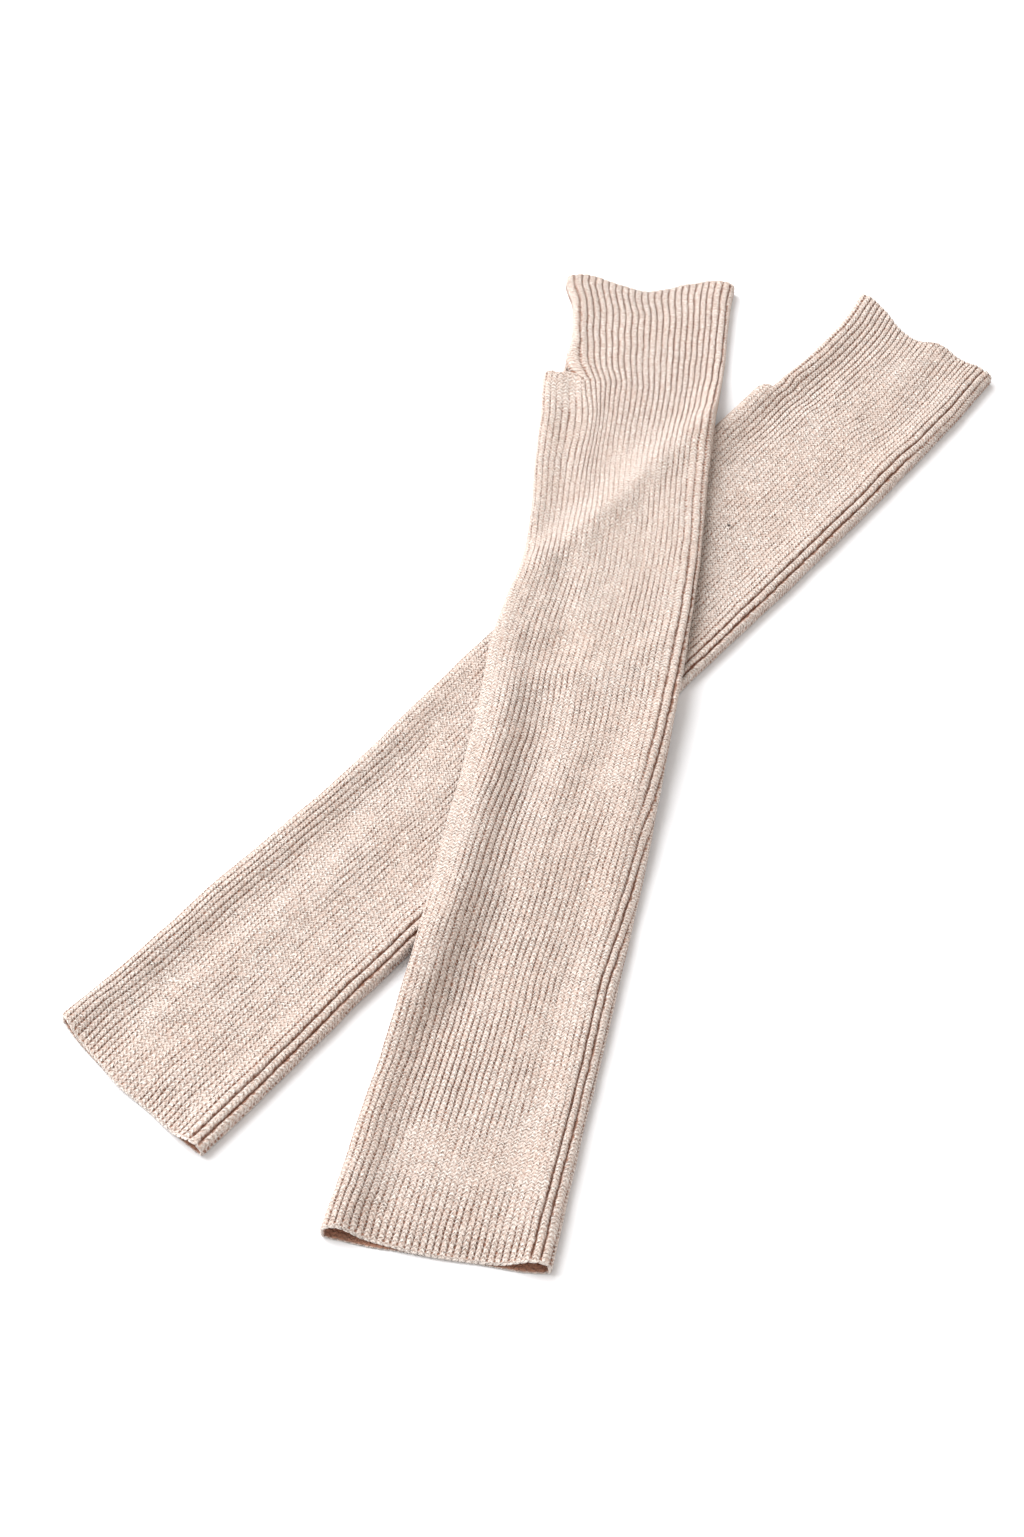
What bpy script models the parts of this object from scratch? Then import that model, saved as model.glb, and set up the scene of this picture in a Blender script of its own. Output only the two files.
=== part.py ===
"""A pair of rib-knit arm warmers laid flat and crossed, one on the other.

Each warmer is a knitted tube with a wide arm part, a narrower hand part and an opening for the
thumb on its left fold. It is built as a front and a back, which meet along both side folds. A
point on a warmer is given by its station, counted from the arm hem towards the hand hem, and its
offset to the left of a straight line between the middles of the two hems.
Sizes are in millimetres, and are turned into metres where a mesh is made.
"""

import math
from collections import namedtuple

import bmesh
import bpy
import numpy as np

Edge = namedtuple("Edge", "station left right")
Opening = namedtuple("Opening", "station front back")
Hem = namedtuple("Hem", "share front back")
Fold = namedtuple("Fold", "station offset to_station to_offset half_width rise")
Warmer = namedtuple("Warmer", "name arm_end heading arm hand opening lip arm_hem hand_hem folds stations")

METRES = 0.001

# The cloth: one-by-one rib knit
WALL = 1.3             # cloth under a groove
RIB_RISE = 0.8         # crest of a rib above its grooves
ARM_RIBS = 33          # ribs across one face of the arm part
LIP_RIBS = 8           # of them bound off at the lip of the thumb opening
HAND_RIBS = ARM_RIBS - LIP_RIBS
SEAM_GAP = 0.3         # between a front and its back along a fold
DEEP_GROOVES = {31: 0.3, 32: 0.3}   # by rib, where the cloth turns into the right fold

OATMEAL = (0.71, 0.58, 0.49, 1.0)
OATMEAL_SHADE = (0.66, 0.53, 0.45, 1.0)
KNIT_ROUGHNESS = 0.9

# The flattened tube
LENGTH = 450.0
FOLD_RADIUS = 2.3      # of the cloth where it turns back on itself at a side fold
MIDDLE_RISE = 1.2      # of the front's grooves above the folds, between the folds
MIDDLE_START = 14.0    # distance in from a fold over which the front settles to MIDDLE_RISE
SILHOUETTE = 0.4       # how far the first rib stands out past the fold
RIBBED_SIDE = 0.9      # share of a fold's height over which a back has ribs; the rest lies flat
AT_SEAM = 1e-6         # share of the height under which a point is on the seam line

# The thumb opening
LIP_STATION = 387.0
OPENING_TOP = 399.0    # where the hand part's own left fold begins
FAN_LENGTH = 40.0      # over which the hand ribs spread to an even width past the lip
FAN_POWER = 2.5        # how closely they spread near the opening first

# One warmer over the other
LIFT = 5.8             # of the over warmer where it lies on the under one
RAMP = 20.0            # over which it climbs
RAMP_SHOULDER = 4.0    # how far before the under warmer's fold the climb is done

HEM_FADE = 22.0        # how far in from a hem its waves still shift the rows
LIP_FADE = 14.0

HAND_STATIONS = (391.0, 395.0, 399.0, 405.0, 413.0, 423.0, 434.0, 445.0, 450.0)

OVER = Warmer(
    name="over",
    arm_end=(-43.1, -218.2),
    heading=79.85,
    arm=(
        Edge(0, 36.8, -36.1), Edge(25, 34.6, -36.8), Edge(50, 33.0, -37.5), Edge(75, 30.6, -38.8),
        Edge(100, 29.0, -39.7), Edge(130, 27.9, -40.8), Edge(160, 27.6, -41.6),
        Edge(190, 26.8, -41.9), Edge(220, 26.8, -42.0), Edge(245, 27.8, -41.9),
        Edge(265, 26.2, -41.5), Edge(290, 24.2, -40.9), Edge(315, 25.6, -39.5),
        Edge(345, 28.8, -37.5), Edge(370, 31.0, -36.5), Edge(387, 33.3, -36.1),
    ),
    hand=(
        Edge(387, 26.0, -36.1), Edge(399, 26.4, -35.8), Edge(410, 26.2, -35.4),
        Edge(425, 27.8, -34.3), Edge(440, 30.6, -33.2), Edge(450, 33.8, -33.5),
    ),
    opening=(
        Opening(387, 17.3, 17.3), Opening(391, 19.0, 23.5), Opening(395, 22.2, 26.0),
        Opening(399, 26.4, 26.4),
    ),
    lip=((0.0, 0.0), (0.25, 3.4), (0.6, 3.2), (0.85, 1.0), (1.0, 0.0)),
    arm_hem=(
        Hem(0.0, 0.0, 0.0), Hem(0.1, -1.2, 2.2), Hem(0.28, 2.2, 3.6), Hem(0.5, 3.6, 3.2),
        Hem(0.75, 2.8, 3.2), Hem(0.88, 2.4, 3.6), Hem(1.0, 0.6, 0.6),
    ),
    hand_hem=(
        Hem(0.0, -5.0, -5.0), Hem(0.1, -3.0, -3.4), Hem(0.3, -4.8, -5.0), Hem(0.46, -6.8, -6.6),
        Hem(0.68, -1.4, -2.0), Hem(0.9, 2.2, 1.6), Hem(1.0, 1.6, 1.6),
    ),
    folds=(
        Fold(-4, 27, 20, 27, 9, 1.7), Fold(-4, -30, 14, -31, 6, 0.9), Fold(-4, 2, 30, -4, 14, -0.4),
        Fold(12, 24, 185, 14, 7, -0.5), Fold(40, 31, 215, 24, 5, 0.8), Fold(20, 8, 150, -2, 9, 0.7),
        Fold(60, -24, 150, -27, 8, 0.5), Fold(405, 20, 452, 24, 7, 1.0),
        Fold(420, -22, 454, -24, 8, 1.2), Fold(425, 2, 452, 3, 9, -0.4),
        Fold(372, 21, 384, 27, 6, 0.8), Fold(250, -14, 300, -20, 12, 0.6),
    ),
    stations=(0.0, 4.0, 16.0, 30.0, 46.0, 62.0, 78.0, 92.0, 106.0, 119.0, 132.0, 145.0, 158.0,
              171.0, 184.0, 197.0, 210.0, 223.0, 236.0, 249.0, 262.0, 275.0, 288.0, 301.0, 314.0,
              327.0, 340.0, 354.0, 367.0, 378.0, 387.0),
)

UNDER = Warmer(
    name="under",
    arm_end=(-142.3, -157.4),
    heading=50.62,
    arm=(
        Edge(0, 35.6, -35.4), Edge(25, 34.3, -35.4), Edge(50, 34.0, -35.2), Edge(75, 34.0, -35.0),
        Edge(100, 33.0, -35.1), Edge(125, 31.9, -35.2), Edge(150, 31.6, -35.3),
        Edge(180, 33.0, -35.2), Edge(220, 33.9, -35.1), Edge(260, 34.2, -35.2),
        Edge(300, 34.4, -36.0), Edge(340, 34.4, -36.1), Edge(370, 34.8, -35.8),
        Edge(387, 35.2, -35.4),
    ),
    hand=(
        Edge(387, 29.8, -35.4), Edge(399, 30.0, -35.0), Edge(410, 29.4, -34.7),
        Edge(425, 29.8, -34.2), Edge(440, 31.6, -33.2), Edge(450, 34.2, -32.6),
    ),
    opening=(
        Opening(387, 17.8, 17.8), Opening(391, 20.8, 27.0), Opening(395, 25.6, 29.6),
        Opening(399, 30.0, 30.0),
    ),
    lip=((0.0, 0.0), (0.25, 3.0), (0.6, 2.6), (0.85, 0.8), (1.0, 0.0)),
    arm_hem=(
        Hem(0.0, -4.5, -4.5), Hem(0.15, -1.8, -1.6), Hem(0.3, 0.2, 0.4), Hem(0.46, 2.6, 2.4),
        Hem(0.65, 3.2, 3.4), Hem(0.86, 4.6, 4.2), Hem(1.0, 4.6, 4.6),
    ),
    hand_hem=(
        Hem(0.0, 4.7, 4.7), Hem(0.16, 3.2, 2.8), Hem(0.32, -1.2, -1.0), Hem(0.46, -2.8, -2.6),
        Hem(0.58, -0.4, -0.6), Hem(0.72, -0.4, -0.8), Hem(0.87, -1.4, -1.6), Hem(1.0, -1.8, -1.8),
    ),
    folds=(
        Fold(-4, 24, 16, 24, 7, 0.6), Fold(-5, -10, 18, -12, 9, 0.5),
        Fold(34, 25, 158, 29, 6, -0.5), Fold(30, 6, 130, 2, 12, 0.5), Fold(20, -30, 120, -29, 4, 0.5),
        Fold(400, 12, 440, 15, 6, 0.8), Fold(434, -4, 454, -6, 6, 0.9), Fold(430, 7, 450, 6, 5, -0.4),
        Fold(436, -20, 452, -20, 5, -0.3), Fold(372, 20, 384, 27, 6, 0.5),
        Fold(300, -20, 420, -22, 9, 0.4),
    ),
    stations=(0.0, 4.0, 16.0, 34.0, 54.0, 74.0, 94.0, 114.0, 134.0, 154.0, 176.0, 198.0, 220.0,
              242.0, 264.0, 286.0, 308.0, 328.0, 346.0, 362.0, 376.0, 387.0),
)

# Ribs, counted from the left fold of the arm part, at which a surface has its points
FINE_RIBS = np.arange(0, ARM_RIBS + 0.25, 0.5)
PLAIN_RIBS = np.array([0, 1, 2, 5, 8, 11, 14, 17, 20, 23, 26, 29, 31, 32, 33], float)
EDGED_RIBS = np.array([0, 0.5, 1, 2, 5, 8, 11, 14, 17, 20, 23, 26, 29, 31, 32, 32.5, 33], float)


def smooth(knots, values, at):
    """Value at some places of a smooth curve through a table's points."""
    knots = np.asarray(knots, float)
    values = np.asarray(values, float)
    slopes = np.gradient(values, knots)
    at = np.clip(at, knots[0], knots[-1])
    cell = np.clip(np.searchsorted(knots, at, side="right") - 1, 0, len(knots) - 2)
    step = knots[cell + 1] - knots[cell]
    t = (at - knots[cell]) / step
    rise = values[cell + 1] - values[cell]
    bend_in = slopes[cell] * step - rise
    bend_out = rise - slopes[cell + 1] * step
    return values[cell] + rise * t + t * (1 - t) * (bend_in * (1 - t) + bend_out * t)


def column(rows, name):
    return [getattr(row, name) for row in rows]


def ease(t):
    """Smooth step from 0 to 1."""
    t = np.clip(t, 0, 1)
    return t * t * (3 - 2 * t)


def half_tube(width, radius, share, opened):
    """Half the section of a flattened tube, from its left side to its right one.

    opened is the angle of the left fold that the thumb opening has taken away. The result is the
    distance in from the left side, the share of the height, and how far outwards is sideways.
    """
    lost = radius * (1 - np.cos(opened))
    quarter = radius * math.pi / 2
    flat = width + lost - 2 * radius
    run = flat + 2 * quarter - radius * opened
    arc = radius * opened + share * run
    left_angle = np.clip(arc / radius, 0, math.pi / 2)
    right_angle = np.clip((flat + 2 * quarter - arc) / radius, 0, math.pi / 2)
    inset = radius * (1 - np.cos(left_angle)) + np.clip(arc - quarter, 0, flat)
    inset = inset + radius * np.cos(right_angle) - lost
    height = np.sin(np.minimum(left_angle, right_angle))
    sideways = np.cos(right_angle) - np.cos(left_angle)
    return inset, height, sideways


def rib_rise(ribs, height, face):
    """How far each point stands out from the bottom of the grooves."""
    crest = np.where(ribs % 1 == 0.5, RIB_RISE, 0.0)
    if face == "front":
        for rib, depth in DEEP_GROOVES.items():
            crest = np.where(ribs == rib, -depth, crest)
        return np.broadcast_to(crest, height.shape)
    return np.where(height < RIBBED_SIDE, crest, 0.0)


def fold_rise(warmer, station, offset):
    """Height of the soft folds at a point: a rounded bank along each fold's line."""
    total = np.zeros(np.shape(station))
    for fold in warmer.folds:
        run = np.array([fold.to_station - fold.station, fold.to_offset - fold.offset])
        along = (station - fold.station) * run[0] + (offset - fold.offset) * run[1]
        along = np.clip(along / (run @ run), 0, 1)
        away = np.hypot(station - fold.station - along * run[0], offset - fold.offset - along * run[1])
        total += fold.rise * (1 - ease(away / (2 * fold.half_width)))
    return total


def place(warmer, station, offset):
    """World X and Y of a point of a warmer."""
    turn = math.radians(warmer.heading)
    x = warmer.arm_end[0] + station * math.cos(turn) - offset * math.sin(turn)
    y = warmer.arm_end[1] + station * math.sin(turn) + offset * math.cos(turn)
    return x, y


def lift(x, y):
    """How high the over warmer's underside is carried by the under warmer."""
    turn = math.radians(UNDER.heading)
    across_x, across_y = x - UNDER.arm_end[0], y - UNDER.arm_end[1]
    station = across_x * math.cos(turn) + across_y * math.sin(turn)
    offset = across_y * math.cos(turn) - across_x * math.sin(turn)
    left = smooth(column(UNDER.arm, "station"), column(UNDER.arm, "left"), station)
    right = smooth(column(UNDER.arm, "station"), column(UNDER.arm, "right"), station)
    inside = np.minimum(left - offset, offset - right) + RAMP_SHOULDER
    return LIFT * ease(1 + inside / RAMP)


def row_stations(warmer, part, face, shares, stations):
    """Station of every point of the rows: straight across, but waved near a hem or the lip."""
    stations = np.broadcast_to(stations[:, None], (len(stations), len(shares))).copy()
    if part == "arm":
        wave = smooth(column(warmer.arm_hem, "share"), column(warmer.arm_hem, face), shares)
        stations -= wave * np.clip(1 - stations / HEM_FADE, 0, 1)
        lip_shares = np.array([row[0] for row in warmer.lip]) * LIP_RIBS / ARM_RIBS
        lip_wave = smooth(lip_shares, [row[1] for row in warmer.lip], shares)
        stations += lip_wave * np.clip(1 - (LIP_STATION - stations) / LIP_FADE, 0, 1)
    else:
        wave = smooth(column(warmer.hand_hem, "share"), column(warmer.hand_hem, face), shares)
        stations += wave * np.clip(1 - (LENGTH - stations) / HEM_FADE, 0, 1)
    return stations


def sides(warmer, part, face, rows):
    """Left and right side of each row, and how far its left fold is closed, from 0 to 1."""
    edges = warmer.arm if part == "arm" else warmer.hand
    stations = column(edges, "station")
    left = smooth(stations, column(edges, "left"), rows)
    right = smooth(stations, column(edges, "right"), rows)
    closed = np.ones_like(rows)
    if part == "hand":
        selvedge = smooth(column(warmer.opening, "station"), column(warmer.opening, face), rows)
        left = np.where(rows < OPENING_TOP, selvedge, left)
        closed = ease((rows - LIP_STATION) / (OPENING_TOP - LIP_STATION))
    return left[:, None], right[:, None], closed[:, None]


def hand_spread(warmer, rows, left, right, shares):
    """Share of the width at which each hand rib stands.

    At the lip the ribs stand as in the arm part. Past it those next to the opening are the first
    to move out to the hand part's left side, and the others follow.
    """
    fan = np.clip((rows[:, None] - LIP_STATION) / FAN_LENGTH, 0, 1)
    power = FAN_POWER + (1 - FAN_POWER) * fan
    start = warmer.opening[0].front
    from_right = (start - right) * (1 - shares) + (left - start) * (1 - shares) ** power
    return 1 - from_right / (left - right)


def height_above_folds(warmer, height, closed, from_left, from_right, station, offset):
    """How far a front's soft shape departs from a tube of even height: lower between its folds."""
    settled_left = 1 - closed * (1 - ease((from_left - FOLD_RADIUS) / MIDDLE_START))
    settled_right = ease((from_right - FOLD_RADIUS) / MIDDLE_START)
    sag = (FOLD_RADIUS - MIDDLE_RISE) * settled_left * settled_right
    return height * (fold_rise(warmer, station, offset) - sag)


def part_points(warmer, part, face, ribs, rows, depth):
    """Points of one surface of the arm or hand part; depth is how far it lies inside the grooves."""
    shares = ribs / ARM_RIBS if part == "arm" else (ribs - LIP_RIBS) / HAND_RIBS
    rows = np.asarray(rows, float)
    station = row_stations(warmer, part, face, shares, rows)
    left, right, closed = sides(warmer, part, face, rows)
    spread = shares if part == "arm" else hand_spread(warmer, rows, left, right, shares)
    opened = (1 - closed) * math.pi / 2
    width = left - right - (1 + closed) * (SILHOUETTE + depth)
    inset, height, sideways = half_tube(width, FOLD_RADIUS - depth, spread, opened)
    rise = rib_rise(ribs, height, face) if depth == 0 else np.zeros_like(height)
    offset = left - closed * (SILHOUETTE + depth) - inset - rise * sideways
    tall = (FOLD_RADIUS - depth + rise) * height
    if face == "front":
        tall += height_above_folds(warmer, height, closed, left - offset, offset - right, station, offset)
    tall = np.where(height < AT_SEAM, SEAM_GAP / 2, tall)
    x, y = place(warmer, station, offset)
    z = FOLD_RADIUS + (tall if face == "front" else -tall)
    if warmer is OVER:
        z = z + lift(x, y)
    return np.stack([x, y, z], axis=-1) * METRES


class Sheet:
    """One surface of a front or back: its vertices on a grid, without the corner at the opening."""

    def __init__(self, mesh, warmer, face, ribs, depth):
        self.ribs = ribs
        self.lip_row = len(warmer.stations) - 1
        self.lip_column = int(np.flatnonzero(ribs == LIP_RIBS)[0])
        arm = part_points(warmer, "arm", face, ribs, warmer.stations, depth)
        hand = part_points(warmer, "hand", face, ribs[self.lip_column:], HAND_STATIONS, depth)
        self.rows = [[mesh.verts.new(point) for point in row] for row in arm]
        blank = [None] * self.lip_column
        self.rows += [blank + [mesh.verts.new(point) for point in row] for row in hand]

    def add_faces(self, mesh):
        for number, (near, far) in enumerate(zip(self.rows, self.rows[1:])):
            first = 0 if number < self.lip_row else self.lip_column
            for across in range(first, len(near) - 1):
                mesh.faces.new((near[across], near[across + 1], far[across + 1], far[across]))

    def run_across(self, row, first_rib, last_rib):
        """Vertices of a row between two ribs."""
        kept = (self.ribs >= first_rib) & (self.ribs <= last_rib)
        return [vertex for vertex, keep in zip(self.rows[row], kept) if keep]

    def run_along(self, rib, first_row, last_row):
        """Vertices along a rib between two rows."""
        across = int(np.flatnonzero(self.ribs == rib)[0])
        return [row[across] for row in self.rows[first_row:last_row + 1]]


def close_across(mesh, outer, inner, row, first_rib, last_rib):
    """Edge of the cloth across the ribs, one face for each step of the plainer inner surface."""
    stops = [rib for rib in inner.ribs if first_rib <= rib <= last_rib]
    for start, end in zip(stops, stops[1:]):
        outside = outer.run_across(row, start, end)
        inside = inner.run_across(row, start, end)
        mesh.faces.new(outside + inside[::-1])


def close_along(mesh, outer, inner, rib, first_row, last_row):
    """Edge of the cloth along a rib."""
    outside = outer.run_along(rib, first_row, last_row)
    inside = inner.run_along(rib, first_row, last_row)
    for step in range(len(outside) - 1):
        mesh.faces.new((outside[step], outside[step + 1], inside[step + 1], inside[step]))


def build_panel(warmer, face, outer_ribs, collection, material):
    """Front or back of a warmer as one closed wall of cloth."""
    mesh = bmesh.new()
    outer = Sheet(mesh, warmer, face, outer_ribs, 0.0)
    inner = Sheet(mesh, warmer, face, PLAIN_RIBS, WALL)
    outer.add_faces(mesh)
    inner.add_faces(mesh)
    lip_row = outer.lip_row
    last_row = len(outer.rows) - 1
    close_across(mesh, outer, inner, 0, 0, ARM_RIBS)
    close_across(mesh, outer, inner, last_row, LIP_RIBS, ARM_RIBS)
    close_across(mesh, outer, inner, lip_row, 0, LIP_RIBS)
    close_along(mesh, outer, inner, 0, 0, lip_row)
    close_along(mesh, outer, inner, LIP_RIBS, lip_row, last_row)
    close_along(mesh, outer, inner, ARM_RIBS, 0, last_row)
    bmesh.ops.recalc_face_normals(mesh, faces=mesh.faces)
    name = warmer.name + "_" + face
    data = bpy.data.meshes.new(name)
    mesh.to_mesh(data)
    mesh.free()
    data.materials.append(material)
    panel = bpy.data.objects.new(name, data)
    collection.objects.link(panel)
    return panel


def knit_material(name, colour):
    material = bpy.data.materials.new(name)
    material.use_nodes = True
    shader = material.node_tree.nodes["Principled BSDF"]
    shader.inputs["Base Color"].default_value = colour
    shader.inputs["Roughness"].default_value = KNIT_ROUGHNESS
    shader.inputs["Metallic"].default_value = 0.0
    return material


def clear_scene():
    for thing in list(bpy.data.objects):
        bpy.data.objects.remove(thing, do_unlink=True)


def main():
    clear_scene()
    collection = bpy.data.collections.new("arm_warmers")
    bpy.context.scene.collection.children.link(collection)
    front_knit = knit_material("front_knit", OATMEAL)
    back_knit = knit_material("back_knit", OATMEAL_SHADE)
    for warmer in (OVER, UNDER):
        build_panel(warmer, "front", FINE_RIBS, collection, front_knit)
        build_panel(warmer, "back", EDGED_RIBS, collection, back_knit)


main()
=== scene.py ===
import math

import bpy
import numpy as np
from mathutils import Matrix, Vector


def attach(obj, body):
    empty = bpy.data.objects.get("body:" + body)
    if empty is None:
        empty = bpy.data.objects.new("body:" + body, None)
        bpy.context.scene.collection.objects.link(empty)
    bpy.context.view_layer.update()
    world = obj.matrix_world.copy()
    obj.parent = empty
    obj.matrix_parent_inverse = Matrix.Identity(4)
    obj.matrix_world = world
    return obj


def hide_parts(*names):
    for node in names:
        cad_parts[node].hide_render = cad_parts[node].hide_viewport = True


# Pair of rib-knit arm warmers, laid flat and crossed. Each warmer is one knitted tube.
# A point of a warmer is given by its station, from the arm hem to the hand hem, and by its
# offset to the left of the line between the middles of the hems. Both are in millimetres.

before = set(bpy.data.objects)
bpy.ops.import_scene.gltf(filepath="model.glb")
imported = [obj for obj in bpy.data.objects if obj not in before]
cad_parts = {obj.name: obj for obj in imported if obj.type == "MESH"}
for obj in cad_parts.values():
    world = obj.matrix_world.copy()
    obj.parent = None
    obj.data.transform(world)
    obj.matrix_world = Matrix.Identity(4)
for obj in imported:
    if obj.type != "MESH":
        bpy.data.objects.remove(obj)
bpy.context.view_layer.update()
print("frame loaded with", ", ".join(sorted(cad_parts)))

mm = 0.001

# The knit and the flattened tube that both warmers share. A row of waves gives their rise, their
# length, how many times shorter they are across the ribs, and which draw they take.
knit = dict(
    ribs=33,            # across one face, counted from the left fold
    lipRibs=8,          # on each side of the left fold, bound off at the thumb opening
    length=450.0,
    lipAt=387.0,
    openingEnds=399.0,
    ribPitch=2.1,
    stitch=1.45,        # height of a row of stitches

    wall=1.3,           # cloth under a groove
    thinnest=0.5,       # share of the wall that is left at a hem
    thinFrom=9.0,       # distance from a hem at which the wall starts to thin

    ribRise=0.72,       # crest of a rib above the cloth
    crestPower=4,       # more than 2 makes a crest flatter
    crestRoot=0.62,     # less than 1 makes its sides steeper
    crestWaves=[(0.12, 16, 3.0, 3)],
    apartWaves=[(0.1, 30, 1.0, 0), (0.12, 11, 1.7, 5)],
    leastApart=0.12,
    reliefPower=1.9,    # more than 1 makes the closer grooves shallower
    deepWidth=0.17,     # half width of a deep groove, in ribs
    deepFade=25.0,      # length over which it starts and ends
    underGroove=0.5,    # depth of the grooves on the flat underside
    flatFrom=0.7,       # share of the height at which the flat underside starts
    flatOver=0.25,      # and share over which it does
    scallop=0.3,        # how far a rib's end stands out at a hem
    scallopFade=4.0,
    beadRise=0.62,      # bound-off edge above the cloth
    beadWidth=1.3,

    foldRadius=2.3,     # of the side folds
    sideShape=0.68,     # less than 1 makes the side folds squarer
    silhouette=0.4,     # by which the fold is drawn in, so that its ribs end at the outline
    middleRise=1.2,     # of the front above the folds' middle, between them
    middleStart=12.0,   # distance from a side fold over which it sinks to that
    foldTaper=1.8,      # more than 1 keeps a soft fold's height nearer to its ends
    swellWaves=[(0.2, 38, 1.0, 2)],
    strayWaves=[(0.16, 45, 1.0, 1), (0.09, 13, 2.2, 4)],  # sideways, of the ribs

    edgeCount=3,        # ribs before the right fold that are wider
    edgeReach=1.7,      # ribs beside the opening that are drawn out to its edge
    edgeRoom=1.6,       # how much wider the first of them stays
    spreadLength=31.0,  # over which the hand ribs spread past the lip
    spreadPower=1.6,
    crowding=0.075,     # by which the hand ribs are closer near the right fold
    crowdLength=14.0,
    joinLength=6.0,     # over which the arm part turns into the hand part
    driftAt=368.0,      # where the ribs below the lip are drawn furthest to the right
    driftAbove=16.0,    # length over which that fades towards the lip
    driftBelow=34.0,    # and away from it
    driftRibs=3.8,      # ribs over which it fades across

    hemFade=22.0,       # how far a hem's wave reaches into the cloth
    lipFade=14.0,
    mouthDepth=17.0,    # over which the two faces come together at an arm hem
    mouthGap=0.15,
)

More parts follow.
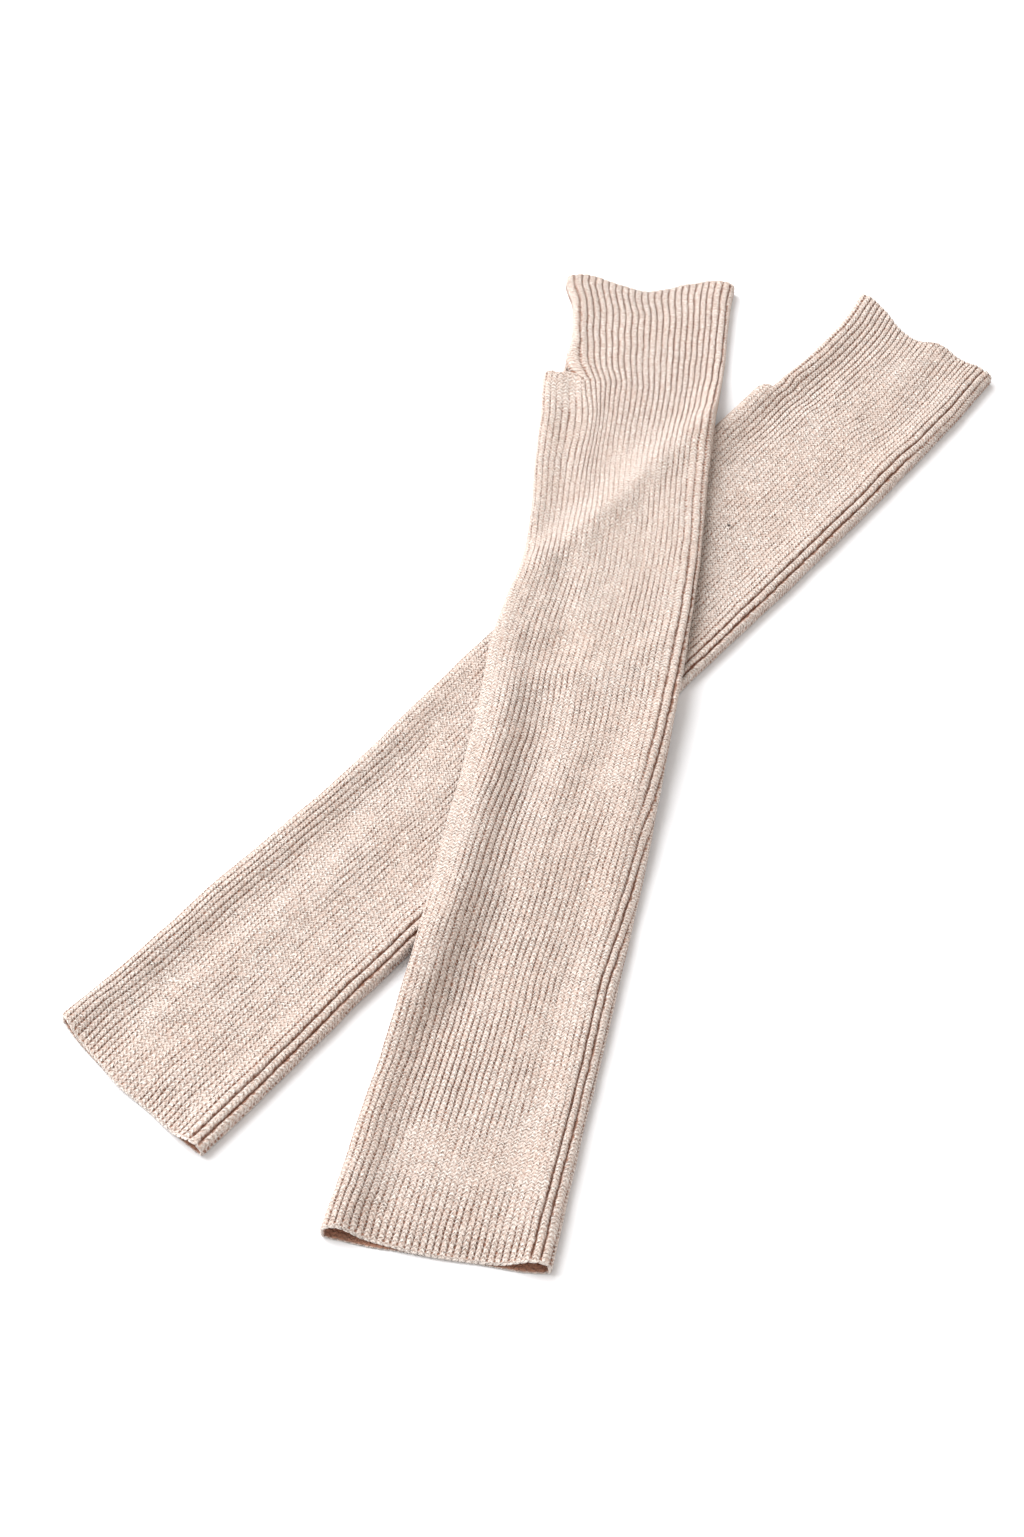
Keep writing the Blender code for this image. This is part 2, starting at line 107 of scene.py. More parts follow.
upperWarmer = dict(
    name="over_warmer",
    stands=("over_front", "over_back"),
    armEnd=(-43.1, -218.2),
    heading=79.85,
    # station, left side, right side
    arm=[
        (0, 36.8, -36.1), (25, 34.6, -36.8), (50, 33.0, -37.5), (75, 30.6, -38.8),
        (100, 29.0, -39.7), (130, 27.9, -40.8), (160, 27.6, -41.6), (190, 26.8, -41.9),
        (220, 26.8, -42.0), (245, 27.8, -41.9), (265, 26.2, -41.5), (290, 24.2, -40.9),
        (315, 25.6, -39.5), (345, 28.8, -37.5), (370, 31.0, -36.5), (387, 33.3, -36.1),
    ],
    hand=[
        (387, 26.0, -36.1), (399, 26.5, -35.8), (403, 26.6, -35.6), (409, 25.9, -35.4),
        (418, 26.9, -34.8), (434, 29.5, -33.7), (441, 31.9, -33.2), (446, 33.4, -33.3),
        (450, 33.8, -33.5),
    ],
    # station, left edge of the front, left edge of the back
    opening=[
        (387, 17.3, 17.3), (389, 19.6, 23.0), (391, 22.0, 26.0), (395, 25.0, 26.6),
        (399, 26.5, 26.5),
    ],
    lipShown=8,          # of the lip's 16 ribs, how many are on the front
    # share of the lip, how far it reaches
    lip=[(0, 0), (0.12, 2.6), (0.3, 2.6), (0.6, 4.0), (0.85, 3.2), (1, 0)],
    # share of the width, how open the arm hem's mouth is
    mouth=[
        (0, 0.35), (0.07, 0.5), (0.15, 0.45), (0.24, 0.2), (0.32, 0), (0.8, 0), (0.87, 0.35),
        (0.94, 0.42), (1, 0.3),
    ],
    # share of the width, reach of the front, reach of the back
    armHem=[
        (0, 0.2, 0.2), (0.1, -0.6, 0.8), (0.25, 0.2, 1.5), (0.38, 1.2, 1.4), (0.5, 1.6, 1.7),
        (0.7, 1.3, 1.5), (0.82, 0.9, 1.7), (0.92, 0.2, 1.6), (1, 0.6, 0.6),
    ],
    handHem=[
        (0, -5, -5), (0.1, -3.0, -3.4), (0.3, -4.8, -5.0), (0.46, -6.8, -6.6),
        (0.68, -1.4, -2.0), (0.9, 2.2, 1.6), (1, 1.6, 1.6),
    ],
    # rise, half width, and the places that the fold runs through
    folds=[
        (0.9, 7, [(-25, 27), (-4, 27), (12, 27), (30, 27)]),
        (0.9, 6, [(-25, -30), (-4, -30), (10, -31), (24, -31)]),
        (-0.4, 10, [(-25, 2), (0, 0), (30, -4)]),
        (2.6, 4.5, [
            (262, 18), (222, 17), (192, 16), (165, 17.5), (140, 18), (116, 19.5), (90, 22),
            (70, 25),
        ]),
        (-2.2, 5.5, [(248, 6), (205, 2), (178, 2), (150, 3.5), (122, 5.5), (95, 11), (72, 15)]),
        (1.4, 4.0, [(95, 25), (55, 28), (10, 30), (-15, 31)]),
        (-1.0, 5.0, [(100, 10), (70, 15), (40, 16.5), (0, 17.5), (-20, 18.5)]),
        (-1.2, 4.5, [(305, 10), (275, 7), (250, 3), (235, 2)]),
        (1.3, 3.5, [(262, -39), (254, -33), (241, -20), (234, -8), (231, 3), (224, 14)]),
        (1.0, 6.0, [(256, -42), (247, -35), (234, -22), (227, -9), (224, 2)]),
        (-1.5, 4.5, [(245, 19), (243, 11), (247, 3), (255, -8)]),
        (-1.2, 4.5, [(215, -27), (195, -20), (172, -12), (150, -5)]),
        (2.0, 5.0, [(240, -36), (175, -33), (110, -31.5), (63, -29), (20, -28), (-15, -27)]),
        (2.3, 6.0, [(384, -43), (370, -36), (346, -20), (325, -8), (303, 4), (288, 14), (279, 22)]),
        (-0.4, 3.5, [(66, 2), (57, 1), (46, -2)]),
        (0.6, 8.0, [(140, -14), (95, -10), (45, -8), (0, -6)]),
        (-0.8, 5.0, [(395, 20), (375, 20), (345, 19), (318, 18), (305, 17)]),
        (-0.5, 4.5, [(400, 18), (423, 20), (440, 22)]),
        (0.7, 7, [(415, 20), (432, 22), (452, 24), (470, 25)]),
        (1.2, 8, [(420, -22), (440, -23), (454, -24), (470, -25)]),
        (-0.4, 9, [(425, 2), (440, 2.5), (470, 3)]),
        (0.9, 6, [(340, -26), (300, -30), (250, -37)]),
    ],
    # station, how much the ribs stand apart there, which also sets how dark the grooves' painted
    # shade is
    apart=[
        (0, 0.95), (14, 0.72), (32, 0.56), (48, 0.68), (64, 0.74), (110, 0.68), (200, 0.62),
        (300, 0.56), (345, 0.6), (372, 0.75), (392, 0.95), (420, 1.0), (450, 1.0),
    ],
    # station, offset, length and width of a patch, how much more the ribs stand apart in it, and so
    # how much darker the grooves' painted shade is
    patches=[
        (383, 23, 9, 7, -0.7), (150, 24, 60, 5, -0.45), (230, 25, 50, 4, -0.4),
        (70, -22, 40, 9, -0.3), (110, 10, 70, 9, 0.3), (195, -26, 30, 8, -0.3),
        (190, 8, 40, 6, 0.25), (31, -2, 13, 18, -0.3), (57, 12, 12, 13, 0.3),
        (330, -10, 30, 12, -0.15), (20, 28, 22, 6, 0.2),
    ],
    # station, ribs by which the tube is turned over its right fold
    turned=[
        (0, 3.5), (60, 3.4), (95, 3.45), (107, 3.4), (117, 3.1), (127, 2.8), (140, 2.4),
        (153, 2.15), (167, 1.75), (180, 1.0), (193, 0.5), (202, 0.2), (227, -0.1), (260, -0.45),
        (300, -0.3), (330, -0.1), (350, 0), (375, 0), (450, 0),
    ],
    # station, width of the last ribs before the right fold against an even rib
    edgeRibs=[
        (0, 1.33), (63, 1.12), (105, 1.22), (162, 1.2), (198, 1.38), (245, 1.5), (320, 1.4),
        (350, 1.4), (370, 1.28), (387, 1.18), (400, 1.2), (450, 1.18),
    ],
    # groove counted from the left fold, the stations it runs between, depth, darkness of its
    # painted shade
    deepGrooves=[
        (31, 180, 310, 0.4, 0.7), (31, 290, 470, 0.1, 0.25), (32, 165, 310, 0.5, 0.9),
        (32, 290, 470, 0.15, 0.4), (33, 110, 215, 0.4, 0.7), (34, -20, 180, 0.45, 0.9),
        (35, -20, 140, 0.45, 0.9),
    ],
    drift=3.0,           # how far the ribs below the lip are drawn to the right
    seed=11,
)

lowerWarmer = dict(
    name="under_warmer",
    stands=("under_front", "under_back"),
    armEnd=(-142.3, -157.4),
    heading=50.62,
    arm=[
        (0, 35.6, -35.4), (25, 34.3, -35.4), (50, 34.0, -35.2), (75, 34.0, -35.0),
        (100, 33.0, -35.1), (125, 31.9, -35.2), (150, 31.6, -35.3), (180, 33.0, -35.2),
        (220, 33.9, -35.1), (260, 34.2, -35.2), (300, 34.4, -36.0), (340, 34.4, -36.1),
        (370, 34.8, -35.8), (387, 35.2, -35.4),
    ],
    hand=[
        (387, 29.8, -35.4), (399, 30.0, -35.0), (410, 29.4, -34.7), (425, 29.8, -34.2),
        (440, 31.6, -33.2), (450, 34.2, -32.6),
    ],
    opening=[
        (387, 29.6, 8.0), (391, 29.8, 20.0), (395, 30.0, 27.5), (399, 30.0, 30.0),
    ],
    lipShown=3,
    lip=[(0, -4), (0.4, -4), (0.62, -3), (0.8, 0.6), (0.92, 1.4), (1, 0)],
    mouth=[
        (0, 0.3), (0.12, 0.2), (0.25, 0.35), (0.36, 0.3), (0.5, 0), (0.8, 0), (0.92, 0.25),
        (1, 0.35),
    ],
    armHem=[
        (0, -4.5, -4.5), (0.15, -1.8, -1.6), (0.3, 0.2, 0.4), (0.46, 2.6, 2.4),
        (0.65, 3.2, 3.4), (0.86, 4.6, 4.2), (1, 4.6, 4.6),
    ],
    handHem=[
        (0, 4.7, 4.7), (0.16, 3.2, 2.8), (0.32, -1.2, -1.0), (0.46, -2.8, -2.6),
        (0.58, -0.4, -0.6), (0.72, -0.4, -0.8), (0.87, -1.4, -1.6), (1, -1.8, -1.8),
    ],
    folds=[
        (0.6, 7, [(-25, 24), (-4, 24), (10, 24), (22, 24)]),
        (0.5, 8, [(-25, -9), (-5, -10), (10, -11), (24, -12)]),
        (1.0, 3.6, [(205, 29.5), (150, 28), (100, 27), (50, 28.5), (0, 30), (-20, 30)]),
        (-0.7, 4.2, [(205, 20), (150, 18.5), (100, 15.5), (50, 17.5), (0, 16), (-20, 16)]),
        (0.7, 4.5, [(175, -1), (153, 1), (131, 4), (104, 3), (70, 7), (30, 10), (5, 9)]),
        (-0.4, 4.5, [(150, -14), (126, -11), (90, -8), (60, -6), (30, -5)]),
        (1.2, 4.2, [(215, -29), (150, -28.5), (100, -28), (50, -27.5), (0, -27.5), (-20, -27)]),
        (0.9, 3.6, [(335, 30), (380, 30.5), (412, 25.5), (447, 28.5), (470, 29)]),
        (-1.1, 4.8, [(335, 21), (380, 19.5), (412, 15.5), (447, 14), (470, 14)]),
        (0.5, 4.5, [(385, -1), (409, -3), (436, -8), (470, -9)]),
        (-0.4, 4.5, [(320, -14), (365, -18), (410, -18), (448, -17), (470, -17)]),
        (1.3, 4.0, [(262, -28), (321, -28), (360, -28), (402, -27.5), (430, -26.5), (470, -25.5)]),
        (0.8, 6, [(400, 12), (420, 13.5), (440, 15), (465, 16)]),
        (0.8, 5, [(434, -4), (445, -5), (470, -7)]),
        (-0.4, 5, [(430, 7), (445, 6.5), (470, 6)]),
    ],
    apart=[
        (0, 0.75), (14, 0.58), (50, 0.52), (120, 0.5), (240, 0.5), (330, 0.52), (370, 0.56),
        (400, 0.62), (425, 0.7), (450, 0.9),
    ],
    patches=[
        (412, 22, 45, 11, 0.45), (425, -8, 30, 9, -0.25), (90, 24, 70, 7, 0.3),
        (260, 10, 60, 20, 0.1), (340, 4, 30, 14, -0.12), (30, 30, 30, 5, 0.3),
        (383, 33, 14, 3.5, -0.4),
    ],
    turned=[(0, 5), (450, 5)],
    edgeRibs=[(0, 1.4), (390, 1.35), (420, 1.35), (450, 1.25)],
    deepGrooves=[
        (35, -20, 470, 0.12, 0.45), (36, -20, 470, 0.42, 0.9), (37, -20, 410, 0.42, 1.0),
    ],
    drift=0.3,
    seed=23,
)

# How the upper warmer climbs over the lower one, from its hand end and back to its arm end
crossing = dict(
    lift=5.8,
    rampUp=19.0,
    shoulderUp=0.3,
    rampDown=(26.0, 52.0),   # at the upper warmer's left and right side
    rampTurns=(20.0, 55.0),  # offset from which the first turns into the second, and over what
    shoulderDown=1.0,
)

# Where the surfaces have their points. The even rows of a part are given by how far they stay
# clear of its start and of its end, and by their step. A look is how open the grooves are, which
# sets their painted shade, and how much of the bound-off edge's painted highlight there is.
rings = dict(
    fineShares=[0.0, 0.06, 0.16, 0.32, 0.5, 0.68, 0.84, 0.94],  # from a rib's groove to the next
    plainShares=[0.0, 0.1, 0.34, 0.66, 0.9],
    fineTurns=40,     # ribs over the front and the folds that get the finer places
    fineBefore=2,     # of them before the left fold

    outer=dict(
        nearHem=[0, 0.7, 1.5, 2.5, 4, 6, 8.5, 11.5],
        nearLip=[12, 9, 6.5, 4.5, 2.8, 1.5, 0.6, 0],
        arm=(15.0, 14.0, 3.3),
        hand=(2.5, 11.0, 3.2),
    ),
    inner=dict(nearHem=[0, 2.5, 6], nearLip=[7, 0], arm=(14.0, 13.0, 11.0), hand=(7.0, 10.0, 8.0)),
    besideOpening=9,  # rows of either surface there

    edgeSteps=6,      # round an edge of the cloth
    edgeRows=2.5,     # how far the rows of stitches run on over an edge
    # the hollow's colour on the inner surfaces and on the edges' inner sides is painted shade
    edgeHollowShade=0.3,   # share of the hollow's colour at the inner side of the opening's edges
    rimOutside=0.6,   # share of a hem's rim that keeps the outer colour
    lipRound=0.8,     # ribs over which the lip's rim starts
    notchRound=2.5,   # length over which the opening's edges start and end
    paleBelow=4.0,    # how far the inside keeps the yarn's colour below the lip
    palePast=14.0,    # and past it
    paleFade=14.0,

    innerLook=(0.4, 0.0),
    armEdgeLook=(0.3, 1.0),
    handEdgeLook=(0.6, 0.5),
    notchLook=(0.5, 0.5),
    weldWithin=0.002,
)
overEdge = np.linspace(0, 1, rings["edgeSteps"] + 1)  # shares of the way over it


# One column of a table.
def column(table, number):
    return [row[number] for row in table]


# Smooth curve through a table: a cubic between each two rows, whose slope at a row is the mean
# of the slopes round it.
def curveThrough(knots, values, at):
    knots, values = np.asarray(knots, float), np.asarray(values, float)
    slopes = np.gradient(values, knots)
    at = np.clip(at, knots[0], knots[-1])
    cell = np.clip(np.searchsorted(knots, at, side="right") - 1, 0, len(knots) - 2)
    step = knots[cell + 1] - knots[cell]
    t = (at - knots[cell]) / step
    rise = values[cell + 1] - values[cell]
    bendIn = slopes[cell] * step - rise
    bendOut = rise - slopes[cell + 1] * step
    return values[cell] + rise * t + t * (1 - t) * (bendIn * (1 - t) + bendOut * t)


# The smooth curve from a table's first column to another one.
def fromTable(table, number, at):
    return curveThrough(column(table, 0), column(table, number), at)


# Smooth step: three times t squared less two times t cubed, level outside 0 to 1.
def ease(t):
    t = np.clip(t, 0, 1)
    return t * t * (3 - 2 * t)


# Random soft waves: the sum of sines of about one length, in random directions.
def waves(along, across, size, seed, count=9, shortest=0.6, longest=1.6):
    draw = np.random.default_rng(seed)
    lengths = size * draw.uniform(shortest, longest, count)
    angles = draw.uniform(0, math.pi, count)
    starts = draw.uniform(0, 2 * math.pi, count)
    total = 0.0
    for length, angle, start in zip(lengths, angles, starts):
        run = along * math.cos(angle) + across * math.sin(angle)
        total = total + np.sin(2 * math.pi * run / length + start)
    return total / math.sqrt(count)


# Sum of a table's random waves, each times its rise.
def waveSum(warmer, table, along, across):
    total = 0.0
    for rise, size, shorter, draw in table:
        total = total + rise * waves(along, shorter * across, size, warmer["seed"] + draw)
    return total


# Half the section of a flattened tube: a quarter circle, a flat run and a quarter circle.
# opened is the angle of the left fold that the thumb opening has taken away. Gives the distance
# in from the left side, the share of the height, and how far outwards is sideways.
def halfTube(width, radius, share, opened):
    lost = radius * (1 - np.cos(opened))
    quarter = radius * math.pi / 2
    flat = width + lost - 2 * radius
    run = flat + 2 * quarter - radius * opened
    arc = radius * opened + share * run
    leftAngle = np.clip(arc / radius, 0, math.pi / 2)
    rightAngle = np.clip((flat + 2 * quarter - arc) / radius, 0, math.pi / 2)
    inset = radius * (1 - np.cos(leftAngle)) + np.clip(arc - quarter, 0, flat)
    inset = inset + radius * np.cos(rightAngle) - lost
    height = np.sin(np.minimum(leftAngle, rightAngle)) ** knit["sideShape"]
    sideways = np.cos(rightAngle) - np.cos(leftAngle)
    return inset, height, sideways


# Crest of a rib: one less a power of the distance from its middle, rounded by a root.
def ribCrest(turns):
    away = np.abs(2 * (turns % 1) - 1)
    return np.clip(1 - away ** knit["crestPower"], 0, 1) ** knit["crestRoot"]


# Ribs between a turn and the middle of the lip, whichever way round the tube is shorter.
def fromLipMiddle(turns):
    return knit["ribs"] - np.abs(turns - knit["ribs"])


# How deep the few deep grooves are and how dark their painted shade is: a bell across the groove,
# faded at its ends.
def deepGrooves(warmer, turns, rows):
    depth, darkness = 0.0, 0.0
    for groove, start, end, deep, dark in warmer["deepGrooves"]:
        ends = ease((rows - start) / knit["deepFade"]) * ease((end - rows) / knit["deepFade"])
        bell = np.exp(-((turns - groove) / knit["deepWidth"]) ** 2)
        depth = depth + deep * ends * bell
        darkness = darkness + dark * ends * (np.abs(turns - groove) < 0.5)
    return depth, darkness


# How much the grooves stand open, from 0 to 1: by station, by bell-shaped patch and at random.
def grooveOpening(warmer, turns, rows, offset):
    span = knit["ribPitch"] * fromLipMiddle(turns)
    apart = fromTable(warmer["apart"], 1, rows)
    apart = apart + waveSum(warmer, knit["apartWaves"], rows, span)
    for station, across, length, width, change in warmer["patches"]:
        away = ((rows - station) / length) ** 2 + ((offset - across) / width) ** 2
        apart = apart + change * np.exp(-away)
    _, darkness = deepGrooves(warmer, turns, rows)
    return np.clip(np.maximum(apart, np.minimum(darkness, 1)), knit["leastApart"], 1)


# Height of the cloth's face over the plain cloth: rib crests, less the grooves between them, and
# the even bead of a bound-off edge close to the arm hem or the lip. The underside has grooves only.
def relief(warmer, turns, rows, offset, height, back):
    crest = ribCrest(turns)
    apart = grooveOpening(warmer, turns, rows, offset)
    span = knit["ribPitch"] * fromLipMiddle(turns)
    uneven = 1 + waveSum(warmer, knit["crestWaves"], rows, span)
    opened = apart ** knit["reliefPower"]
    raised = knit["ribRise"] * uneven * (1 - opened * (1 - crest))
    bead = knit["beadRise"]
    if back:
        flat = ease((height - knit["flatFrom"]) / knit["flatOver"])
        sunk = -knit["underGroove"] * apart * (1 - crest)
        raised = raised + (sunk - raised) * flat
        bead = bead * np.where(height > knit["flatFrom"], 0, 1)
    else:
        raised = raised - deepGrooves(warmer, turns, rows)[0]
    onLip = fromLipMiddle(turns) < knit["lipRibs"] - 0.5
    toLip = np.where(onLip & (rows <= knit["lipAt"]), knit["lipAt"] - rows, np.inf)
    away = ease(np.minimum(rows, toLip) / knit["beadWidth"])
    return bead + (raised - bead) * away


# Height of the soft folds: a rounded bank or trough along each fold's curve, lower at its ends.
def foldRise(warmer, station, offset, pieces=12):
    total = np.zeros(np.shape(station))
    for rise, halfWidth, path in warmer["folds"]:
        steps = np.linspace(0, len(path) - 1, pieces + 1)
        stations = curveThrough(range(len(path)), column(path, 0), steps)
        offsets = curveThrough(range(len(path)), column(path, 1), steps)
        nearest, reached = np.full(np.shape(station), np.inf), 0.0
        for number in range(pieces):
            run = stations[number + 1] - stations[number], offsets[number + 1] - offsets[number]
            ahead, beside = station - stations[number], offset - offsets[number]
            t = np.clip((ahead * run[0] + beside * run[1]) / (run[0] ** 2 + run[1] ** 2), 0, 1)
            away = np.hypot(ahead - t * run[0], beside - t * run[1])
            reached = np.where(away < nearest, (number + t) / pieces, reached)
            nearest = np.minimum(away, nearest)
        taper = ease(knit["foldTaper"] * np.sin(math.pi * reached))
        total += rise * taper * (1 - ease(nearest / (2 * halfWidth)))
    return total


# Station of every point of the rows: straight across, but waved near a hem or the lip, with the
# ribs' ends standing out a little.
def rowStations(warmer, part, shares, turns, rows, back):
    face = 2 if back else 1
    ends = knit["scallop"] * ribCrest(turns)
    if part == "arm":
        wave = fromTable(warmer["armHem"], face, shares)
        stations = rows - wave * np.clip(1 - rows / knit["hemFade"], 0, 1)
        lipWave = fromTable(warmer["lip"], 1, fromLipMiddle(turns) / knit["lipRibs"])
        fade = np.clip(1 - np.abs(knit["lipAt"] - rows) / knit["lipFade"], 0, 1)
        return stations + lipWave * fade - ends * np.clip(1 - rows / knit["scallopFade"], 0, 1)
    toHem = knit["length"] - rows
    wave = fromTable(warmer["handHem"], face, shares)
    stations = rows + wave * np.clip(1 - toHem / knit["hemFade"], 0, 1)
    return stations + ends * np.clip(1 - toHem / knit["scallopFade"], 0, 1)


# Left and right side of each row, and how far its left fold is closed, from 0 to 1.
def sidesOf(warmer, part, rows, back):
    left, right = fromTable(warmer[part], 1, rows), fromTable(warmer[part], 2, rows)
    closed = np.ones_like(rows)
    if part == "hand":
        selvedge = fromTable(warmer["opening"], 2 if back else 1, rows)
        left = np.where(rows < knit["openingEnds"], selvedge, left)
        closed = ease((rows - knit["lipAt"]) / (knit["openingEnds"] - knit["lipAt"]))
    return left, right, closed


# Share of the run at which each place stands: even, but wider for the last ribs before the right
# fold, where the cloth is pulled round.
def ribShares(warmer, places, count, rows):
    wide = fromTable(warmer["edgeRibs"], 1, rows)
    last = knit["edgeCount"]
    fromRight = knit["ribs"] - places
    rest = (count - last * wide) / (count - last)
    spread = np.where(fromRight < last, fromRight * wide, last * wide + (fromRight - last) * rest)
    return 1 - spread / count


# Share of the run in the hand part. At the lip its ribs stand as in the arm part, and past it
# they spread by one less a power of what is left of the spread's length. A power of the distance
# from the right fold crowds them there, and a square that falls off from the opening's edge draws
# the ribs beside it outwards.
def handShares(warmer, shares, count, left, right, rows, back):
    start = warmer["opening"][0][2 if back else 1]
    past = rows - knit["lipAt"]
    crowding = knit["crowding"] * ease(past / knit["crowdLength"])
    fromRight = (1 - shares) ** (1 + crowding)
    ahead = 1 - np.clip(past / knit["spreadLength"], 0, 1)
    spread = 1 - ahead ** knit["spreadPower"]
    kept = start + spread * (fromTable(warmer["hand"], 1, rows) - knit["edgeRoom"] - start)
    drawn = np.clip(1 - shares * count / knit["edgeReach"], 0, 1) ** 2
    return 1 - ((kept - right) * fromRight + (left - kept) * drawn) / (left - right)


# How far the ribs below the lip are drawn to the right: a bell along them, steeper towards the
# lip, times a bell across them from the lip's end.
def drawnAside(warmer, fromEnd, rows):
    fading = np.where(rows > knit["driftAt"], knit["driftAbove"], knit["driftBelow"])
    along = np.exp(-((rows - knit["driftAt"]) / fading) ** 2)
    return warmer["drift"] * along * np.exp(-(fromEnd / knit["driftRibs"]) ** 2)


# Height that the front adds to the even tube: soft folds and swell, less its sag between the side
# folds and what closes the hollow towards the arm hem where the mouth is shut.
def frontRise(warmer, station, offset, rows, shares, sides):
    left, right, closed = sides
    radius = knit["foldRadius"]
    fromLeft = ease((left - offset - radius) / knit["middleStart"])
    settledLeft = 1 - closed * (1 - fromLeft)
    settledRight = ease((offset - right - radius) / knit["middleStart"])
    sag = (radius - knit["middleRise"]) * settledLeft * settledRight
    swell = waveSum(warmer, knit["swellWaves"], station, offset)
    lifted = foldRise(warmer, station, offset) + swell - sag
    hollow = 2 * (radius - wallAt(rows)) + lifted - knit["mouthGap"]
    shut = 1 - fromTable(warmer["mouth"], 1, shares)
    shut = shut * (1 - ease(rows / knit["mouthDepth"])) * settledLeft * settledRight
    return lifted - shut * hollow


# Arm or hand part as a surface of turns and rows: station, offset, and height over the folds'
# middle. places are the points' places across the face, in ribs from its left fold, and depth is
# how far the surface lies under the cloth's face.
def partSurface(warmer, part, turns, places, rows, depth, back):
    boundOff = 2 * knit["lipRibs"] - warmer["lipShown"] if back else warmer["lipShown"]
    count = knit["ribs"] if part == "arm" else knit["ribs"] - boundOff
    evenShares = np.clip((places - (knit["ribs"] - count)) / count, 0, 1)
    shares = ribShares(warmer, places, count, rows)
    station = rowStations(warmer, part, evenShares, turns, rows, back)
    left, right, closed = sidesOf(warmer, part, rows, back)
    if part == "hand":
        shares = handShares(warmer, shares, count, left, right, rows, back)

    radius, drawnIn = knit["foldRadius"], knit["silhouette"] + depth
    opened = (1 - closed) * math.pi / 2
    width = left - right - (1 + closed) * drawnIn
    inset, height, sideways = halfTube(width, radius - depth, shares, opened)
    offset = left - closed * drawnIn - inset
    outer = np.all(depth == 0)
    rise = relief(warmer, turns, rows, offset, height, back) if outer else 0 * height
    offset = offset - rise * sideways
    span = knit["ribPitch"] * fromLipMiddle(turns)
    offset = offset + waveSum(warmer, knit["strayWaves"], rows, span) * ease(height)
    if part == "arm":
        offset = offset - drawnAside(warmer, places - boundOff, rows) * ease(height)
    tall = (radius - depth + rise) * height
    if not back:
        added = frontRise(warmer, station, offset, rows, evenShares, (left, right, closed))
        tall = tall + height * added
    return np.stack([station, offset, tall], axis=-1)


# World X and Y of a point: the station along the warmer's heading and the offset across it.
def placed(warmer, station, offset):
    turn = math.radians(warmer["heading"])
    x = warmer["armEnd"][0] + station * math.cos(turn) - offset * math.sin(turn)
    y = warmer["armEnd"][1] + station * math.sin(turn) + offset * math.cos(turn)
    return x, y


# How high the lower warmer carries the upper one: a smooth step outside each of its sides. The
# one towards the arm end is longer the further right it is on the upper warmer.
def carried(x, y, upperOffset):
    turn = math.radians(lowerWarmer["heading"])
    acrossX, acrossY = x - lowerWarmer["armEnd"][0], y - lowerWarmer["armEnd"][1]
    station = acrossX * math.cos(turn) + acrossY * math.sin(turn)
    offset = acrossY * math.cos(turn) - acrossX * math.sin(turn)
    left = fromTable(lowerWarmer["arm"], 1, station)
    right = fromTable(lowerWarmer["arm"], 2, station)
    up = ease(1 + (left - offset + crossing["shoulderUp"]) / crossing["rampUp"])
    steep, gentle = crossing["rampDown"]
    turnsAt, turnsOver = crossing["rampTurns"]
    ramp = steep + (gentle - steep) * ease((turnsAt - upperOffset) / turnsOver)
    down = ease(1 + (offset - right + crossing["shoulderDown"]) / ramp)
    return crossing["lift"] * np.minimum(up, down)


# One surface of the tube on a grid of turns, which count ribs round it, and rows. A point's place
# is its turn, less what the tube is turned there, and the places of the back are counted back
# towards the left fold. The last turn is the first one again. Gives the points in metres.
def tubeSurface(warmer, turns, rows, depth):
    around = 2 * knit["ribs"]
    turns, rows = turns[None, :], rows[:, None]
    place = (turns - fromTable(warmer["turned"], 1, rows)) % around
    join = ease((rows - knit["lipAt"]) / knit["joinLength"])[..., None]
    faces = []
    for back in (False, True):
        places = np.clip(around - place if back else place, 0, knit["ribs"])
        arm = partSurface(warmer, "arm", turns, places, rows, depth, back)
        hand = partSurface(warmer, "hand", turns, places, rows, depth, back)
        faces.append(arm + (hand - arm) * join)
    front, under = faces
    under[..., 2] *= -1
    points = np.where(place[..., None] > knit["ribs"], under, front)
    station, offset, tall = np.moveaxis(points, -1, 0)
    x, y = placed(warmer, station, offset)
    z = knit["foldRadius"] + tall
    if warmer is upperWarmer:
        z = z + carried(x, y, offset)
    points = np.stack([x, y, z], axis=-1) * mm
    points[:, -1] = points[:, 0]
    return points


# Rounded edge between the outer and the inner surface: half a circle across the wall, pushed
# outwards by bulge, which is 0 where the edge is straight across.
def roundedEdge(outer, inner, outwards, bulge=1):
    lengths = np.linalg.norm(outwards, axis=-1, keepdims=True)
    outwards = outwards / np.maximum(lengths, 1e-9)
    angle = np.linspace(0, math.pi, rings["edgeSteps"] + 1)[:, None, None]
    half = (outer - inner) / 2
    reach = np.linalg.norm(half, axis=-1, keepdims=True) * np.reshape(bulge, (-1, 1))
    return (outer + inner) / 2 + half * np.cos(angle) + outwards * reach * np.sin(angle)


# Turns of the points round the tube: closer on the front and round the side folds than on the
# underside.
def turnsRound(warmer):
    around = 2 * knit["ribs"]
    start = warmer["turned"][-1][1] - rings["fineBefore"]
    turns = []
    for rib in range(around):
        fine = (rib - start) % around < rings["fineTurns"]
        turns += [rib + share for share in rings["fineShares" if fine else "plainShares"]]
    return np.array(turns + [around], float)


# Rows of the outer or the inner surface, in the arm part and in the hand part: closer near the
# hems, the lip and the thumb opening.
def rowsAlong(surface):
    lipAt, openingEnds, length = knit["lipAt"], knit["openingEnds"], knit["length"]
    nearHem, nearLip = np.array(surface["nearHem"]), np.array(surface["nearLip"])
    start, end, step = surface["arm"]
    arm = [nearHem, np.arange(start, lipAt - end, step), lipAt - nearLip]
    start, end, step = surface["hand"]
    notch = np.linspace(lipAt, openingEnds, rings["besideOpening"])
    even = np.arange(openingEnds + start, length - end, step)
    return np.concatenate(arm), np.concatenate([notch, even, length - nearHem[::-1]])


